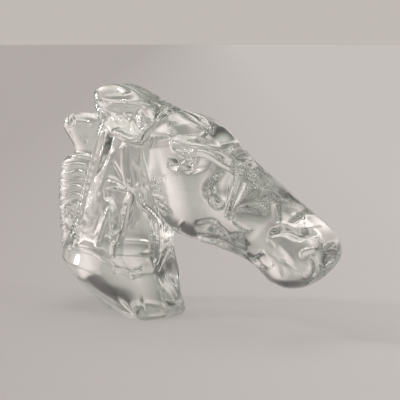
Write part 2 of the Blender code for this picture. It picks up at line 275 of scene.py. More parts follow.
# A facet is a plane cut into one flank: outline, slope towards the front, slope upwards, width of its bevel.
RIGHT_FACETS = [
    # Neck
    ([(-8.3, 79), (-4.5, 79.3), (-4.4, 77.2), (-5.2, 72), (-7.3, 67.6), (-10.1, 62.2), (-13, 58),
      (-14.2, 59.6), (-11.7, 65.9), (-9.7, 71.6), (-8.5, 76)], 0.50, 0.20, 0.8),
    ([(7.2, 66.8), (8.6, 62.2), (9.7, 57.1), (10.6, 60.1), (10.1, 64.3), (8.4, 68.6)], 0.45, 0.0, 0.8),
    ([(-6.8, 55.6), (0.5, 56.5), (6.3, 55), (5.4, 52.2), (4.3, 48.3), (3.3, 43.5), (2.5, 37.8),
      (0.6, 37.4), (-0.2, 42.5), (-1.1, 47.6), (-2.5, 50.5), (-5.5, 50.6)], 0.36, 0.0, 1.0),
    ([(7.5, 54.9), (9.7, 54.9), (10.5, 51.5), (10.9, 46.3), (9.8, 41.9), (7.4, 38.8), (5.2, 39.2),
      (5.4, 44.4), (6.4, 50.1)], 0.38, 0.0, 1.4),
    ([(11.1, 55.8), (13.1, 55.5), (13.2, 49.9), (11.8, 49.4), (10.9, 52.4)], 0.6, 0.0, 0.7),
    # Foot
    ([(12.8, 11.1), (16.1, 1.5), (11.9, 1.5)], 0.7, 0.0, 0.6),
    # Brow and eye
    ([(26, 86.4), (33.6, 86.5), (38.3, 86), (41.4, 84.3), (43.1, 83.1), (43.3, 81.6), (42, 79.7),
      (37.3, 79.2), (31.6, 79.1), (29.8, 81.4), (27.3, 84)], 0.08, -0.42, 1.2),
    ([(33.9, 73.6), (38.8, 74), (38.2, 70.2), (36.1, 69.8)], 0.0, -1.0, 0.5),
    ([(39.2, 74), (44.2, 73.7), (43.4, 70.8), (40.4, 69.6), (39, 70.2)], 0.1, -1.0, 0.5),
    ([(29.2, 71.3), (34, 71.6), (35.3, 68.4), (33.9, 67), (30.1, 67.2)], 0.1, -1.0, 0.5),
    ([(36.6, 68.8), (40.8, 69), (42.6, 68), (41, 65.6), (38, 65.8)], 0.1, -1.0, 0.5),
    ([(18.4, 74.4), (17.5, 76.4), (20.2, 78.1), (25.7, 79.5), (30.9, 80.3), (30.8, 76.1), (23.7, 74.8)],
      -0.06, 0.25, 1.0),
    # Bridge of the nose
    ([(42.3, 79.9), (43.3, 81.6), (43, 83.3), (45.3, 81.7), (48, 79.5), (50.4, 77.2), (51.6, 75.5),
      (50, 74.8), (46.7, 76), (45.5, 77.6), (43.3, 79.1)], -0.05, 0.20, 1.0),
    ([(51.4, 75.1), (53.6, 74.5), (55.4, 73.4), (57.9, 71.4), (61.9, 68.2), (58.8, 69.4), (55.2, 72)],
      -0.05, 0.25, 0.8),
    # Ear
    ([(-6.1, 88.2), (-1.1, 88), (3.6, 86.1), (4.2, 83.7), (1.4, 82.3), (-2.6, 85)], -0.05, 0.20, 0.8),
    ([(-5.9, 85.2), (-3.1, 84.5), (-0.3, 81.8), (-2.8, 80.8), (-5.2, 82.3)], 0.40, 0.0, 0.7),
    ([(3.5, 88.2), (6.3, 87.9), (9.1, 82.3), (8.4, 79.8), (5.6, 82.5)], 0.40, 0.0, 0.8),
    # Tuft
    ([(-36.2, 85.8), (-34.1, 85.8), (-32.5, 83.6), (-31.8, 81.8), (-34.2, 81), (-35.7, 83.4)],
      0.7, 0.0, 0.6),
]
LEFT_FACETS = [
    ([(-40, 83.8), (-37.4, 83.6), (-36.8, 80), (-38.8, 78.4)], 0.7, 0.0, 0.9),
    ([(-14.6, 52.6), (-16.6, 44), (-20.6, 37), (-23, 30), (-20.4, 30.4), (-17.6, 37.6), (-15, 44.4),
      (-12.4, 50.4), (-12, 53)], 0.24, 0.0, 0.9),
]
# A hollow is an ellipse sunk into one flank: middle, half lengths, slope, depth. A negative depth raises it.
RIGHT_HOLLOWS = [
    ((59.4, 49.0), (1.7, 1.7), 0.0, 0.9),
    ((101.6, 39.4), (1.6, 1.8), 0.0, 1.6),
    ((90.1, 47.3), (1.4, 2.4), 0.4, -0.7),
    ((-37.5, 79.0), (3.2, 1.3), -0.9, 1.0),
]
LEFT_HOLLOWS = [
    ((37.2, 55.6), (7.2, 6.8), 0.0, 3.0),
    ((25.0, 66.5), (6.0, 5.5), 0.0, 3.4),
]
# A stroke follows a path on both flanks: path, half width, height, profile. A negative height cuts it.
STROKES = [
    # Ears
    ([(-17.7, 92.5), (-12.5, 91.9), (-5.8, 91.8), (1.2, 91.9), (7.8, 91.9), (14, 91)], 1.4, 1.3, "sharp"),
    ([(-14.6, 88.6), (-10.9, 84.4), (-5, 80.2), (1.5, 79.2), (8.6, 77), (12.2, 76.8)], 1.4, 1.4, "round"),
    ([(12.4, 77), (15.4, 81.6), (18.4, 84.2), (21, 87), (25, 89)], 1.2, 1.2, "round"),
    ([(8.2, 89.2), (10.6, 85.6), (11.2, 82.6)], 1.7, 1.2, "round"),
    ([(18.6, 89.2), (17.9, 91.1), (19.6, 91.1)], 1.0, 1.0, "sharp"),
    ([(20.9, 88.5), (21.6, 89.6), (23.4, 89.6)], 1.0, 1.0, "sharp"),
    # Neck
    ([(-10.7, 80.1), (-13.4, 72.2), (-16.6, 62.3), (-19.3, 52.1), (-20.4, 45), (-21.5, 39.2)],
      2.0, 1.7, "round"),
    ([(-2, 72.3), (-5.2, 63.5), (-9.9, 52.3)], 2.0, 1.0, "round"),
    ([(3.9, 76), (4.6, 68.4), (5.3, 62.1), (6.7, 56.6)], 2.3, 1.6, "round"),
    ([(-1.8, 67.2), (2.7, 62.4), (5.9, 57)], 1.0, -1.2, "sharp"),
    ([(-4.7, 60.1), (0.8, 59.3), (5.9, 56.5)], 1.2, -1.2, "sharp"),
    ([(1, 56.1), (3.9, 55.8), (6.3, 55.5)], 1.0, 1.2, "sharp"),
    ([(-2, 47.9), (-4, 42.6), (-6, 36.8), (-7, 32)], 1.1, 1.2, "sharp"),
    ([(-1.3, 47.1), (-0.4, 41.6), (0.7, 35.7)], 1.0, 1.1, "sharp"),
    ([(0.9, 33.1), (0.7, 29.6), (0.6, 26.2)], 1.0, 1.3, "round"),
    ([(6.7, 55.3), (5.6, 51.8), (4.5, 47.9), (3.7, 42.6), (2.5, 37.4), (1.7, 33.5)], 1.3, 1.5, "round"),
    ([(9.9, 55.8), (10.7, 51.5), (12.2, 48.8), (14.6, 46.4), (16.6, 42.8), (16.4, 37.4), (16.2, 31.7),
      (16.3, 27), (16, 22.9), (15.9, 20.5)], 1.4, 1.6, "round"),
    # Collar, and the front edges of the neck and foot
    ([(-23.6, 28.4), (-15.9, 28.5), (-9.7, 28.2), (-4, 26.3), (-0.2, 24.4), (2.9, 21.6), (5.6, 21),
      (8.9, 19.6), (12.3, 20.1), (16, 20.4)], 1.5, 1.5, "round"),
    ([(17.9, 30), (17.6, 27.6), (17.1, 23.9), (16.8, 20.3)], 1.1, 1.2, "sharp"),
    ([(16.5, 19.6), (18, 14.2), (19.3, 8.1), (20.5, 2.1)], 1.1, 1.0, "sharp"),
    # Crests, brow and eye
    ([(31.7, 76.2), (31.9, 77.3), (34.5, 78.1), (37.8, 77.4), (41.2, 76.7), (44.8, 76.2), (48.1, 75.4),
      (51.4, 74.2), (54.4, 72.4), (57.9, 70.1), (61.5, 68.2), (66.4, 64.9), (71.4, 61.2), (74.7, 59.4),
      (77.6, 57.7)], 1.4, 1.6, "round"),
    ([(31.7, 76.2), (32.8, 74.8), (35.5, 74), (39.3, 73.6), (43.3, 74.3), (45.6, 74.4), (48.1, 73.5),
      (50.7, 72), (53.8, 70), (57.3, 68.1), (60.9, 66), (65.1, 63.7), (69.4, 61.7), (73.9, 59.6),
      (77.6, 57.7)], 1.4, 1.5, "round"),
    ([(33, 75.8), (37, 75.6), (42.6, 75.1)], 1.2, -2.0, "ledge"),
    ([(52.3, 71.4), (56, 69.9), (59.8, 67.3)], 1.2, -2.2, "ledge"),
    ([(44.6, 74.1), (44.3, 70.8), (42.3, 67)], 0.9, 0.9, "sharp"),
    ([(35.5, 87.5), (38.9, 86), (42.8, 83.5)], 1.2, -1.2, "sharp"),
    ([(51.9, 56.6), (51.8, 54.1), (53.5, 52.6), (55.4, 52.6), (56.4, 54.3)], 0.8, 0.8, "round"),
    # Cheek, jaw and nose
    ([(15, 54.2), (24, 54.3), (29, 53.2)], 1.4, 0.6, "sharp"),
    ([(23.1, 51.2), (27.9, 50), (31.7, 48.3)], 1.2, 0.6, "sharp"),
    ([(20.7, 50.3), (20, 47), (18.6, 43.7)], 1.4, 0.7, "sharp"),
    ([(19, 37.6), (22, 38.6), (29.4, 40.9), (32.3, 41), (35.5, 43.9), (37.7, 45.9)], 0.9, 0.8, "sharp"),
    ([(60.4, 65.2), (59.6, 60.4), (58.8, 55.6), (57.6, 49)], 1.2, 0.8, "sharp"),
    ([(77.4, 55.4), (78.7, 51.9), (79.9, 48.9), (80.4, 46.2)], 1.2, 0.9, "sharp"),
    # Nostril, mouth and chin
    ([(77.2, 43.0), (79.3, 44.3), (82.3, 45.0), (85.5, 44.4), (88.9, 43.5), (91.7, 44.2), (93.8, 45.0),
      (96.6, 44.4)], 1.7, -4.0, "ledge"),
    ([(78, 46.6), (82.5, 47.6), (87, 46.6), (91.9, 47), (95.4, 47.4)], 1.0, 0.6, "round"),
    ([(92, 43), (94.4, 43.6), (96.9, 42.6), (98.8, 41.4)], 0.9, 0.9, "sharp"),
    ([(92.7, 35.7), (92.5, 37.3), (93.9, 38.4), (96.3, 39), (98.2, 39.8)], 1.0, 1.1, "sharp"),
    ([(93.9, 35.8), (95.6, 37), (97.6, 37.2)], 0.9, -1.3, "sharp"),
    ([(96.5, 35.7), (97.5, 34.1), (97.6, 31.5), (96.7, 29.2), (95, 27.3), (93.5, 26.4)],
      1.1, -2.0, "sharp"),
    ([(98.4, 33.7), (99, 32.6), (99.4, 31.7)], 0.8, -0.9, "sharp"),
    ([(83, 33.1), (87, 31.3), (90.9, 27.9)], 1.2, -1.5, "sharp"),
    ([(74, 36), (77, 33.9), (80.1, 31.8), (82, 29.6), (82.2, 26.7)], 1.1, 1.3, "sharp"),
    ([(75.4, 41.0), (76.9, 39.6), (78.9, 38.2)], 0.8, -0.8, "round"),
    # Tuft
    ([(-40.1, 79), (-37.5, 77), (-34.9, 74.6)], 0.9, -1.4, "sharp"),
    ([(-28.2, 77.6), (-26.3, 77), (-23.8, 76.5)], 0.7, -1.0, "sharp"),
    ([(-27.7, 75.4), (-26.4, 74.6), (-24.6, 74)], 0.8, -1.3, "sharp"),
]
# Cuts of the left flank alone: path, half width, height
LEFT_CUTS = [
    ([(-11.7, 76.6), (-13.9, 69.8), (-15.8, 63.7), (-19.3, 53.4)], 1.3, -1.2),
    ([(31.5, 45.6), (36.4, 43.6), (40.0, 41.4), (47.7, 38.4), (58.2, 35.2)], 1.2, -1.3),
]
# Fans of flat triangles: the point that they share, their outer corners, flank, width of the bevel
FANS = [
    ((58.4, 48.6), [(59.6, 62.6), (65, 60.6), (70.6, 57.8), (74.6, 55), (76, 51.4), (74.5, 46.6),
      (68, 43.6)], RIGHT, 0.7),
    ((41.0, 45.2), [(41.6, 61), (48, 63), (55, 61.5), (62, 58.5), (68.5, 54.5), (69, 46), (61, 41.4),
      (52, 41)], LEFT, 0.7),
]
# Locks of the mane: path of the crest, half width, height
MANE_LINES = [
    ([(-22, 67), (-29, 67.6), (-36, 66.4), (-42, 65.2)], 1.6, 1.0),
    ([(-23, 62.8), (-30, 63.4), (-37, 62), (-43, 61.6)], 1.3, 0.7),
    ([(-24, 59.2), (-30, 60.2), (-36, 58.6), (-44, 58)], 1.5, 1.0),
    ([(-25, 56.2), (-31, 56.8), (-37, 54.8), (-45, 54.6)], 1.3, 0.9),
    ([(-26, 52.6), (-32, 53.4), (-38, 51.2), (-45.6, 50.6)], 1.5, 1.0),
    ([(-27, 49.4), (-33, 49.6), (-39, 47.6), (-46, 46.8)], 1.3, 0.9),
    ([(-28, 45.6), (-34, 45.8), (-40, 43.4), (-46, 42.8)], 1.4, 0.9),
    ([(-22, 82), (-28, 82.6), (-35, 82)], 1.3, 0.6),
]
# Pebbles of the lower mane: places in X and Z, half widths, half height as a share of these, and depths
PEBBLES = 46
PEBBLE_SEED = 4
PEBBLE_X = (-46, -24)
PEBBLE_Z = (25, 47)
PEBBLE_SIZES = (0.9, 1.8)
PEBBLE_FLATNESS = 0.8
PEBBLE_DEPTHS = (-0.8, 0.9)
PEBBLE_POWER = 1.5       # how steep their sides are
# The beaded line over the cheek, a shallow arc: middle and half width of each bead
BEADS = [((6.0 + 2.05 * k, 56.4 + 0.35 * k + 0.022 * k * k), 0.8 + 0.25 * (k % 3)) for k in range(15)]
BEAD_DEPTH = -0.8
BEAD_POWER = 2.0
# The drops that hang on the collar: middle and half width of each
DROPS = [((-3.5, 26.4), 1.1), ((2.9, 21.2), 1.6), ((9.0, 19.0), 1.5), ((12.0, 22.5), 1.5)]
DROP_LENGTH = 1.2        # half height as a share of the half width
DROP_DEPTH = -1.1
DROP_POWER = 1.5
# Bubbles sealed in the glass: place in the side view, distance under the right flank, radius
BUBBLES = [((-6.1, 96.7), 2.4, 0.75), ((0.5, 90.6), 2.4, 0.75), ((21.0, 76.3), 2.6, 1.0)]
BUBBLE_STEPS = 3         # steps of subdivision of their spheres


def show(obj):
    """Links an object to the scene."""
    bpy.context.scene.collection.objects.link(obj)


def neck_rings():
    """Rings of the neck, with the flat underside and the rim below it."""
    underside = UNDERSIDE.ring(NECK_WIDTH)
    rim = []
    for point in underside:
        outward = Vector((point.x, point.y, 0)).normalized()
        rim.append(point + outward * RIM_STEP + Vector((0, 0, RIM)))
    return [underside, rim] + [section.ring(NECK_WIDTH) for section in NECK]


def mane_rings():
    """Rings down the mane, the tuft and then the locks."""
    sections = list(TUFT)
    pitch = (LOCKS_TOP - LOCKS_BOTTOM) / LOCKS
    for k in range(LOCKS):
        z = LOCKS_TOP - k * pitch
        root = MANE_ROOT + k * MANE_ROOT_STEP
        back = BOW_X + BOW * (z - BOW_Z) ** 2
        sections.append(Section((root, z - 0.2 * pitch), (back, z - 0.25 * pitch - LOCK_DROOP), LOCK_OUTLINE))
        sections.append(Section((root, z - 0.9 * pitch),
                                (back + NOTCH_DEPTH, z - 0.85 * pitch - 2 * LOCK_DROOP), NOTCH_OUTLINE))
    return [section.ring(MANE_THICKNESS) for section in sections]


def close_end(bm, ring):
    """Strips from the right side of a ring across to its left side."""
    half = len(ring) // 2
    for i in range(half):
        corners = [ring[i], ring[i + 1], ring[-i - 1], ring[-i]]
        bm.faces.new(list(dict.fromkeys(corners)))


def loft(name, rings, level, sharp_rings=(), sharp_lines=()):
    """Mesh of a closed cage through rings of equal count, softened by subdivision.

    sharp_rings and sharp_lines give (index, crease) for edges around a ring and for edges from ring to ring.
    """
    bm = bmesh.new()
    verts = [[bm.verts.new(point) for point in ring] for ring in rings]
    count = len(rings[0])
    for lower, upper in zip(verts, verts[1:]):
        for i in range(count):
            j = (i + 1) % count
            bm.faces.new((lower[i], lower[j], upper[j], upper[i]))
    for ring in (verts[0], verts[-1]):
        close_end(bm, ring)
    crease = bm.edges.layers.float.new("crease_edge")
    for index, value in sharp_rings:
        for i in range(count):
            bm.edges.get((verts[index][i], verts[index][(i + 1) % count]))[crease] = value
    for line, value in sharp_lines:
        for side in (line, -line):
            for lower, upper in zip(verts, verts[1:]):
                bm.edges.get((lower[side], upper[side]))[crease] = value
    bmesh.ops.recalc_face_normals(bm, faces=bm.faces)
    mesh = bpy.data.meshes.new(name)
    bm.to_mesh(mesh)
    bm.free()
    obj = bpy.data.objects.new(name, mesh)
    show(obj)
    subdivision = obj.modifiers.new("soften", "SUBSURF")
    subdivision.levels = level
    subdivision.render_levels = level
    return applied(obj)


def applied(obj):
    """Mesh of an object with its modifiers applied. The object is removed."""
    depsgraph = bpy.context.evaluated_depsgraph_get()
    mesh = bpy.data.meshes.new_from_object(obj.evaluated_get(depsgraph))
    bpy.data.objects.remove(obj)
    return mesh


def wrapped(forms):
    """The forms as one closed mesh of even small faces."""
    bm = bmesh.new()
    for form in forms:
        bm.from_mesh(form)
    joined = bpy.data.meshes.new("joined")
    bm.to_mesh(joined)
    bm.free()
    obj = bpy.data.objects.new("joined", joined)
    show(obj)
    remesh = obj.modifiers.new("remesh", "REMESH")
    remesh.mode = "VOXEL"
    remesh.voxel_size = VOXEL
    return applied(obj)


def vertices(mesh):
    """Places of a mesh's vertices, one row each."""
    places = np.empty(len(mesh.vertices) * 3)
    mesh.vertices.foreach_get("co", places)
    return places.reshape(-1, 3)


def tree_of(mesh):
    """Search tree over a mesh's faces."""
    return BVHTree.FromPolygons([v.co for v in mesh.vertices], [p.vertices for p in mesh.polygons])


class Smoothing:
    """Smooths points that are joined as the vertices of a mesh are."""

    def __init__(self, mesh):
        ends = np.empty(len(mesh.edges) * 2, dtype=np.int64)
        mesh.edges.foreach_get("vertices", ends)
        self.ends = ends.reshape(-1, 2)
        self.count = np.bincount(ends, minlength=len(mesh.vertices))[:, None]

    def move(self, points, rounds, share):
        """Moves each point by a share of the way to the mean of its neighbours, in rounds."""
        for _ in range(rounds):
            total = np.zeros_like(points)
            np.add.at(total, self.ends[:, 0], points[self.ends[:, 1]])
            np.add.at(total, self.ends[:, 1], points[self.ends[:, 0]])
            points += share * (total / self.count - points)


def settle(mesh, forms):
    """Draws each vertex of the skin onto the form it belongs to, then softens the seams and the head."""
    points = vertices(mesh)
    gaps = np.full((len(points), len(forms)), REACH)
    best = np.full(len(points), REACH)
    nearest = np.zeros_like(points)
    for k, form in enumerate(forms):
        tree = tree_of(form)
        for i, point in enumerate(points):
            spot, _, _, gap = tree.find_nearest(point, REACH)
            if spot is None:
                continue
            gaps[i, k] = gap
            if gap < best[i]:
                best[i] = gap
                nearest[i] = spot
    second_gap = np.sort(gaps, axis=1)[:, 1]
    seam_width = np.where(points[:, 1] < 0, RIGHT_SEAM, LEFT_SEAM)
    seam = np.clip(1 - second_gap / seam_width, 0, 1)
    hold = (best < VOXEL) & (seam < SEAM_LIMIT)
    points[hold] = nearest[hold]
    base = points[:, 2] < SKIN_BASE
    points[base, 2] = 0
    smoothing = Smoothing(mesh)
    seam_share = np.clip(seam * SEAM_GAIN, 0, 1)[:, None] * SEAM_MOVE
    seam_share[base] = 0
    smoothing.move(points, SEAM_ROUNDS, seam_share)
    head_share = np.clip(points[:, 0] / GRID - HEAD_START, 0, HEAD_RAMP)[:, None] / HEAD_RAMP * HEAD_MOVE
    head_share[base] = 0
    smoothing.move(points, HEAD_ROUNDS, head_share)
    mesh.vertices.foreach_set("co", points.ravel())
    mesh.update()


def make_skin():
    """Closed mesh of the whole figure before its carving.

    The neck is sharp around the underside, rim and collar, and along its front edges, sides and ridges.
    """
    forms = [
        loft("neck", neck_rings(), FORM_STEPS, [(0, 1.0), (1, 0.8), (3, 0.7)], [(1, 0.5), (3, 0.4), (5, 0.6)]),
        loft("head", [s.ring(CHEEK_WIDTH) for s in HEAD], FORM_STEPS, [(0, 0.3)], [(1, 0.4), (2, 0.5)]),
        loft("ears", [s.ring(EAR_SPREAD) for s in EARS], FORM_STEPS, (), [(1, 0.3), (2, 0.7)]),
        loft("mane", mane_rings(), MANE_STEPS),
    ]
    mesh = wrapped(forms)
    settle(mesh, forms)
    for form in forms:
        bpy.data.meshes.remove(form)
    return mesh


def curve(path):
    """Points close together on a smooth curve through the points of a path."""
    knots = np.array([path[0], *path, path[-1]], dtype=float)
    points = []
    for k in range(1, len(knots) - 2):
        before, start, end, after = knots[k - 1:k + 3]
        slope = end - before
        bend = 2 * before - 5 * start + 4 * end - after
        twist = 3 * start - before - 3 * end + after
        count = max(2, int(np.hypot(*(end - start)) / CURVE_STEP))
        for t in np.arange(count) / count:
            points.append(0.5 * (2 * start + slope * t + bend * t ** 2 + twist * t ** 3))
    return [*points, knots[-1]]


def outline_measures(flat, corners):
    """For points of the side view: whether they lie inside an outline, and how far from it."""
    inside = np.zeros(len(flat), dtype=bool)
    edge = np.full(len(flat), HEIGHT)
    for a, b in zip(corners, np.roll(corners, -1, axis=0)):
        along = b - a
        t = np.clip((flat - a) @ along / (along @ along), 0, 1)
        edge = np.minimum(edge, np.hypot(*(flat - a - t[:, None] * along).T))
        if a[1] != b[1]:
            crosses = (a[1] > flat[:, 1]) != (b[1] > flat[:, 1])
            x = a[0] + (flat[:, 1] - a[1]) * along[0] / along[1]
            inside ^= crosses & (flat[:, 0] < x)
    return inside, edge


def path_measures(points, line):
    """For points near a line: nearest place on it, distance, and how far along it that is, as a share."""
    gap = np.full(len(points), HEIGHT)
    foot = np.zeros((len(points), 3))
    place = np.zeros(len(points))
    for k, (a, b) in enumerate(zip(line, line[1:])):
        along = b - a
        t = np.clip((points - a) @ along / max(along @ along, 1e-12), 0, 1)
        spot = a + t[:, None] * along
        distance = np.linalg.norm(points - spot, axis=1)
        nearer = distance < gap
        gap[nearer] = distance[nearer]
        foot[nearer] = spot[nearer]
        place[nearer] = (k + t[nearer]) / (len(line) - 1)
    return foot, gap, place


def profile_height(profile, away, above):
    """Height of a stroke as a share, at a distance from its path as a share of its half width."""
    if profile == "round":
        return (1 - away ** 2) ** 2
    if profile == "sharp":
        return (1 - away) ** 1.5
    upwards = np.where(above, away, -away)
    return np.clip(np.minimum(1 - upwards, (1 + upwards) / LEDGE_BACK), 0, 1)


class Relief:
    """The skin's vertices and normals, moved step by step."""

    def __init__(self, mesh):
        self.mesh = mesh
        self.smoothing = Smoothing(mesh)
        self.read()

    def read(self):
        """Takes places, normals and faces from the mesh."""
        self.points = vertices(self.mesh)
        normals = np.empty(len(self.points) * 3)
        self.mesh.vertices.foreach_get("normal", normals)
        self.normals = normals.reshape(-1, 3)
        self.tree = tree_of(self.mesh)

    def write(self):
        """Gives the moved places back to the mesh."""
        self.mesh.vertices.foreach_set("co", self.points.ravel())
        self.mesh.update()

    def on_flank(self, x, z):
        """Point of the right flank at a place of the side view."""
        hit = self.tree.ray_cast(Vector((x * GRID, BESIDE, z * GRID)), Vector((0, 1, 0)))[0]
        return hit or self.tree.find_nearest(Vector((x * GRID, NEAR_MIDDLE, z * GRID)))[0]

    def shares(self, near):
        """The carving on the left flank is shallower than that on the right one."""
        return np.where(self.points[near, 1] < 0, 1.0, LEFT_SHARE)

    def facing(self, near):
        """1 where the skin faces sideways, falling to 0 where it turns away."""
        return np.clip(np.abs(self.normals[near, 1]) * FACING_GAIN - FACING_LOSS, 0, 1)

    def within(self, corners, side=0):
        """Vertices of one flank or of both in the box around an outline, and their places in the side view."""
        flat = self.points[:, [0, 2]]
        here = (flat > corners.min(0)).all(1) & (flat < corners.max(0)).all(1)
        if side:
            here &= self.points[:, 1] * side > 0
        near = np.flatnonzero(here)
        return near, flat[near]

    def scoop(self, outline, depth, bevel):
        """Cuts both flanks inside an outline to an even depth."""
        corners = np.array(outline) * GRID
        near, flat = self.within(corners)
        inside, edge = outline_measures(flat, corners)
        share = np.clip(edge / (bevel * GRID), 0, 1)
        drop = np.where(inside, depth * GRID * share, 0) * self.facing(near) * self.shares(near)
        self.points[near] -= self.normals[near] * drop[:, None]

    def facet(self, outline, frontward, upward, bevel, side):
        """Cuts a plane into one flank inside an outline."""
        corners = np.array(outline) * GRID
        near, flat = self.within(corners, side)
        inside, edge = outline_measures(flat, corners)
        tilt = np.array((frontward, upward))
        depth = flat @ tilt - (corners @ tilt).min()
        drop = np.where(inside, depth * np.clip(edge / (bevel * GRID), 0, 1), 0)
        self.points[near, 1] -= side * drop * self.facing(near)

    def fan(self, hub, rim, side, bevel):
        """Flattens the triangles between one point and the corners around it."""
        corners = np.array([hub, *rim]) * GRID
        depths = np.array([side * abs(self.on_flank(*corner).y) for corner in (hub, *rim)])
        for k in range(1, len(rim)):
            triangle = corners[[0, k, k + 1]]
            near, flat = self.within(triangle, side)
            inside, _ = outline_measures(flat, triangle)
            near, flat = near[inside], flat[inside]
            rows = np.vstack([triangle.T, np.ones(3)])
            shares = np.linalg.solve(rows, np.vstack([flat.T, np.ones(len(near))]))
            plane = depths[[0, k, k + 1]] @ shares
            along = triangle[2] - triangle[1]
            off = flat - triangle[1]
            from_rim = np.abs(along[0] * off[:, 1] - along[1] * off[:, 0]) / np.hypot(*along)
            blend = np.clip(from_rim / (bevel * GRID), 0, 1)
            self.points[near, 1] += blend * (plane - self.points[near, 1])

    def hollow(self, middle, half, slope, depth, power=1.0, sides=(RIGHT, LEFT)):
        """Sinks the skin inside an ellipse, or raises it."""
        centre = self.on_flank(*middle)
        x = self.points[:, 0] - centre.x
        z = self.points[:, 2] - centre.z
        u = (x * cos(slope) + z * sin(slope)) / (half[0] * GRID)
        v = (z * cos(slope) - x * sin(slope)) / (half[1] * GRID)
        r = u ** 2 + v ** 2
        here = np.flatnonzero((r < 1) & np.isin(np.sign(self.points[:, 1]), sides))
        sunk = depth * GRID * (1 - r[here]) ** power * self.shares(here)
        self.points[here] -= self.normals[here] * sunk[:, None]

    def stroke(self, path, radius, height, profile, sides=(RIGHT, LEFT)):
        """Raises or cuts the skin along a path, mirrored on the left flank."""
        right_line = np.array([self.on_flank(*place) for place in curve(path)])
        for side in sides:
            self.raise_along(right_line * (1, -side, 1), radius * GRID, height * GRID, profile)

    def raise_along(self, line, radius, height, profile):
        """Raises the skin along a line, narrower and lower towards its ends."""
        low, high = line.min(0) - radius, line.max(0) + radius
        near = np.flatnonzero((self.points > low).all(1) & (self.points < high).all(1))
        points = self.points[near]
        foot, gap, place = path_measures(points, line)
        ends = np.clip(np.minimum(place, 1 - place) * END_GAIN + END_SHARE, 0, 1)
        away = np.clip(gap / (radius * (0.5 + 0.5 * ends)), 0, 1)
        shape = profile_height(profile, away, points[:, 2] - foot[:, 2] > 0)
        self.points[near] += self.normals[near] * (height * ends * shape * self.shares(near))[:, None]


def add_bubbles(mesh, bubbles):
    """Adds small spheres that face inwards: place of the middle, radius."""
    bm = bmesh.new()
    bm.from_mesh(mesh)
    for middle, radius in bubbles:
        made = bmesh.ops.create_icosphere(bm, subdivisions=BUBBLE_STEPS, radius=radius,
                                          matrix=Matrix.Translation(middle))
        faces = {face for vert in made["verts"] for face in vert.link_faces}
        bmesh.ops.reverse_faces(bm, faces=list(faces))
    bm.to_mesh(mesh)
    bm.free()


def carve(mesh):
    """Cuts the planes first, then the lines, the mane, the beads and the drops, and seals the bubbles in."""
    relief = Relief(mesh)
    for outline, depth, bevel in SCOOPS:
        relief.scoop(outline, depth, bevel)
    for hub, rim, side, bevel in FANS:
        relief.fan(hub, rim, side, bevel)
    for side, facets in ((RIGHT, RIGHT_FACETS), (LEFT, LEFT_FACETS)):
        for outline, frontward, upward, bevel in facets:
            relief.facet(outline, frontward, upward, bevel, side)
    for middle, half, slope, depth in RIGHT_HOLLOWS:
        relief.hollow(middle, half, slope, depth, sides=(RIGHT,))
    for middle, half, slope, depth in LEFT_HOLLOWS:
        relief.hollow(middle, half, slope, depth / LEFT_SHARE, sides=(LEFT,))
    relief.write()
    relief.read()
    for path, radius, height, profile in STROKES:
        relief.stroke(path, radius, height, profile)
    for path, radius, height in MANE_LINES:
        relief.stroke(path, radius, height, "round")
    chance = np.random.default_rng(PEBBLE_SEED)
    for _ in range(PEBBLES):
        x, z = chance.uniform(*PEBBLE_X), chance.uniform(*PEBBLE_Z)
        size = chance.uniform(*PEBBLE_SIZES)
        relief.hollow((x, z), (size, size * PEBBLE_FLATNESS), 0, chance.choice(PEBBLE_DEPTHS), PEBBLE_POWER)
    for path, radius, height in LEFT_CUTS:
        relief.stroke(path, radius, height / LEFT_SHARE, "sharp", (LEFT,))
    for middle, radius in BEADS:
        relief.hollow(middle, (radius, radius), 0, BEAD_DEPTH, BEAD_POWER)
    for middle, radius in DROPS:
        relief.hollow(middle, (radius, radius * DROP_LENGTH), 0, DROP_DEPTH, DROP_POWER)
    relief.smoothing.move(relief.points, SOFTEN_ROUNDS, SOFTEN_MOVE)
    relief.points[relief.points[:, 2] < CARVED_BASE, 2] = 0
    relief.points = np.clip(relief.points, cad_box[0], cad_box[1])
    relief.write()
    relief.read()
    add_bubbles(mesh, [(relief.on_flank(*place) + Vector((0, depth * GRID, 0)), radius * GRID)
                       for place, depth, radius in BUBBLES])
    for face in mesh.polygons:
        face.use_smooth = face.normal.z > UNDERSIDE_NORMAL or face.center.z > CARVED_BASE


def make_glass():
    """Clear glass by plain values on the shader, with a weak absorption inside."""
    glass = bpy.data.materials.new("crystal")
    glass.use_nodes = True
    tree = glass.node_tree
    shader = tree.nodes["Principled BSDF"]
    shader.inputs["Base Color"].default_value = GLASS_COLOUR
    shader.inputs["Roughness"].default_value = GLASS_ROUGHNESS
    shader.inputs["IOR"].default_value = GLASS_IOR
    shader.inputs["Transmission Weight"].default_value = 1.0
    absorption = tree.nodes.new("ShaderNodeVolumeAbsorption")
    absorption.inputs["Color"].default_value = ABSORPTION_COLOUR
    absorption.inputs["Density"].default_value = ABSORPTION_DENSITY
    tree.links.new(absorption.outputs[0], tree.nodes["Material Output"].inputs["Volume"])
    return glass


def spread(tree, value, first, last, lowest=0.0):
    """A value between two limits as a share that rises from the lowest one to 1."""
    node = tree.nodes.new("ShaderNodeMapRange")
    node.inputs["From Min"].default_value = first
    node.inputs["From Max"].default_value = last
    node.inputs["To Min"].default_value = lowest
    tree.links.new(value, node.inputs["Value"])
    return node.outputs["Result"]


